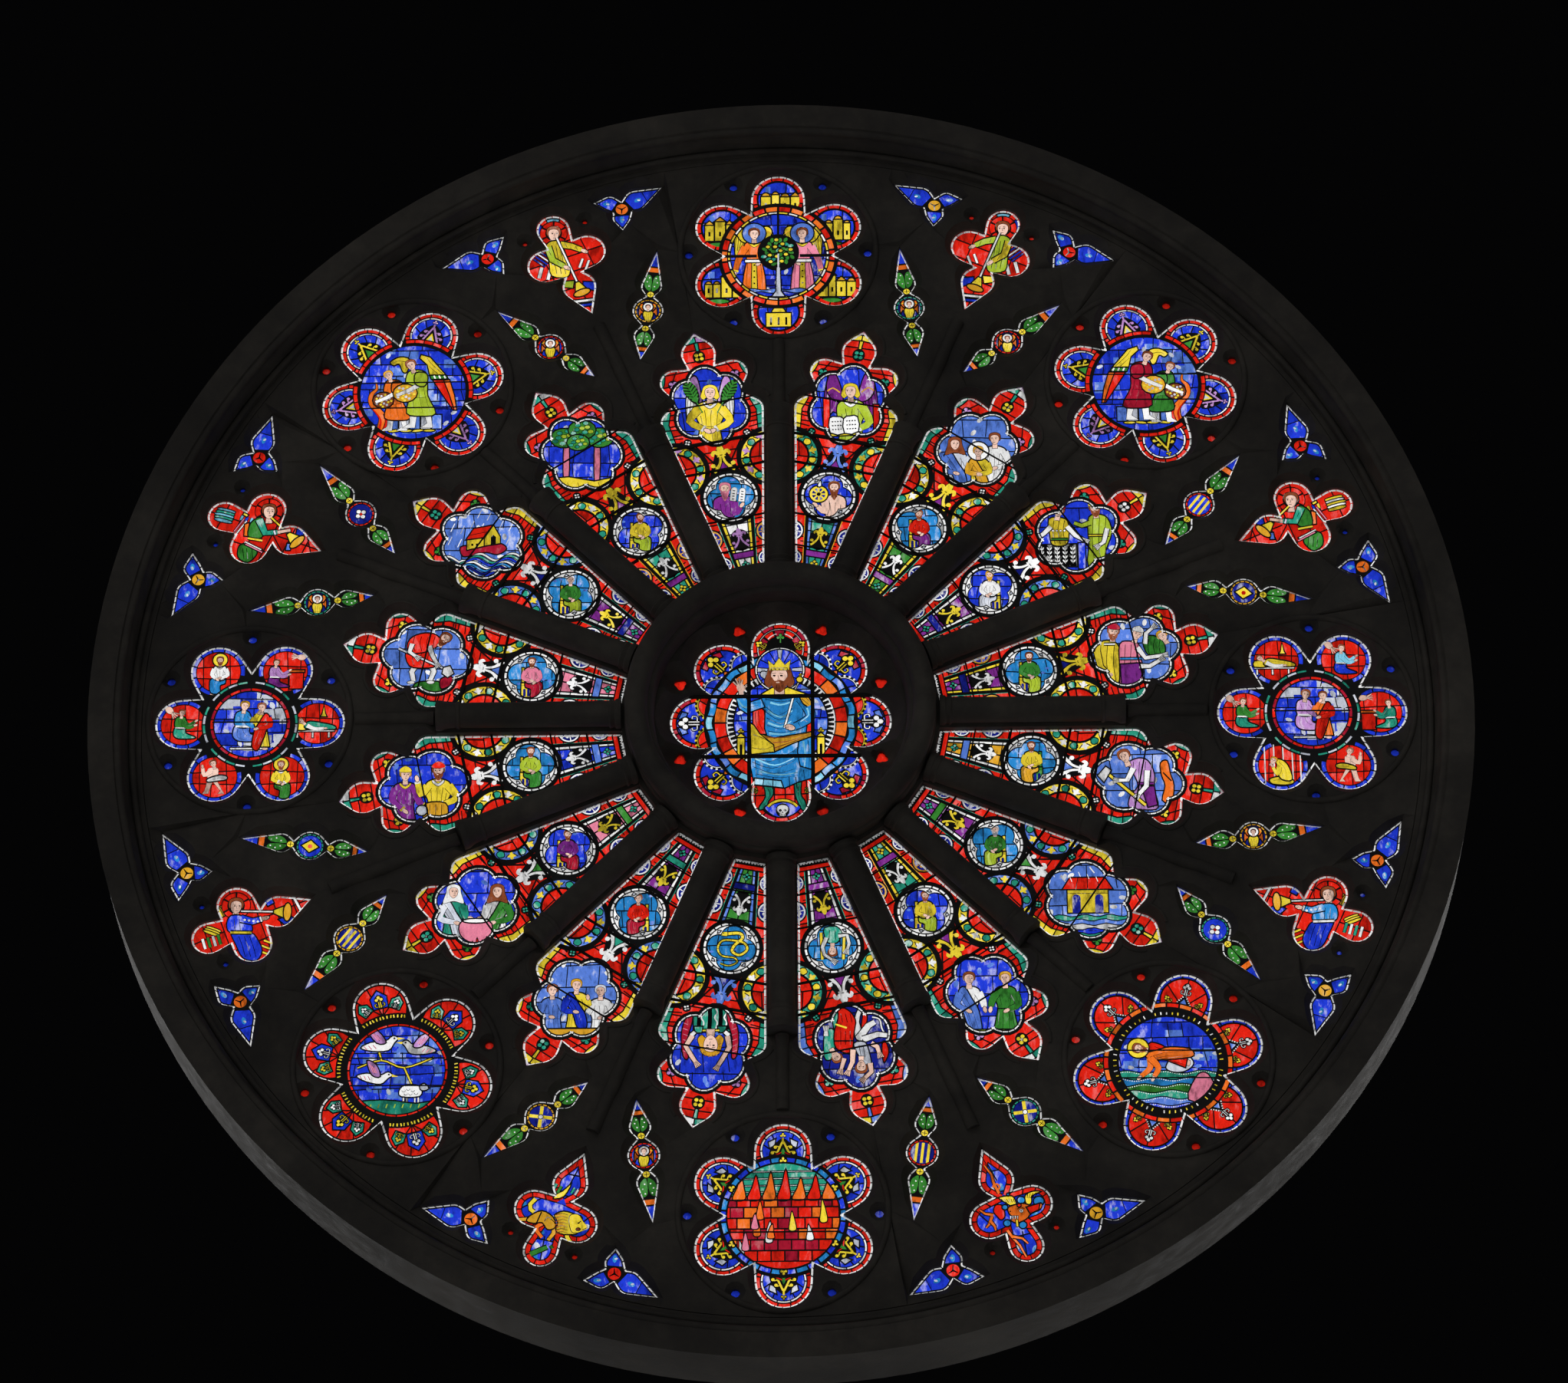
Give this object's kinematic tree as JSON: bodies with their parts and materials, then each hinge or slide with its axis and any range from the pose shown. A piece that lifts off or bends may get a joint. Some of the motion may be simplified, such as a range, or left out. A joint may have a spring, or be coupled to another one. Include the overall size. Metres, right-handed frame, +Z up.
{
  "type": "rose window",
  "caption": "Round church window: petals between radial mullions, lobed roundels and spandrel lights in stone tracery, glazed with leaded coloured glass.",
  "frame": {"origin": "middle of the bed face at the foot of the outer stone ring, straight below the rose's centre, in the plane of the glass", "axes": "+Z up, +Y out of the building, +X to the right as seen from the room"},
  "size_m": [10.5, 0.69, 10.5],
  "materials": {
    "stone": "limestone, soot-dark on the room side",
    "glass": "leaded pot-metal and painted glass, lit from behind",
    "iron": "dark wrought iron and lead"
  },
  "bodies": {
    "root": {"centre_armature": "iron", "centre_glass": "glass", "hub_ring": "stone", "mullion_01": "stone", "mullion_02": "stone", "mullion_03": "stone", "mullion_04": "stone", "mullion_05": "stone", "mullion_06": "stone", "mullion_07": "stone", "mullion_08": "stone", "mullion_09": "stone", "mullion_10": "stone", "mullion_11": "stone", "mullion_12": "stone", "mullion_13": "stone", "mullion_14": "stone", "mullion_15": "stone", "mullion_16": "stone", "outer_ring": "stone", "petal_glass_01": "glass", "petal_glass_02": "glass", "petal_glass_03": "glass", "petal_glass_04": "glass", "petal_glass_05": "glass", "petal_glass_06": "glass", "petal_glass_07": "glass", "petal_glass_08": "glass", "petal_glass_09": "glass", "petal_glass_10": "glass", "petal_glass_11": "glass", "petal_glass_12": "glass", "petal_glass_13": "glass", "petal_glass_14": "glass", "petal_glass_15": "glass", "petal_glass_16": "glass", "roundel_glass_1": "glass", "roundel_glass_2": "glass", "roundel_glass_3": "glass", "roundel_glass_4": "glass", "roundel_glass_5": "glass", "roundel_glass_6": "glass", "roundel_glass_7": "glass", "roundel_glass_8": "glass", "spandrel_glass_1": "glass", "spandrel_glass_2": "glass", "spandrel_glass_3": "glass", "spandrel_glass_4": "glass", "spandrel_glass_5": "glass", "spandrel_glass_6": "glass", "spandrel_glass_7": "glass", "spandrel_glass_8": "glass", "tracery_1": "stone", "tracery_2": "stone", "tracery_3": "stone", "tracery_4": "stone", "tracery_5": "stone", "tracery_6": "stone", "tracery_7": "stone", "tracery_8": "stone"}
  },
  "joints": []
}
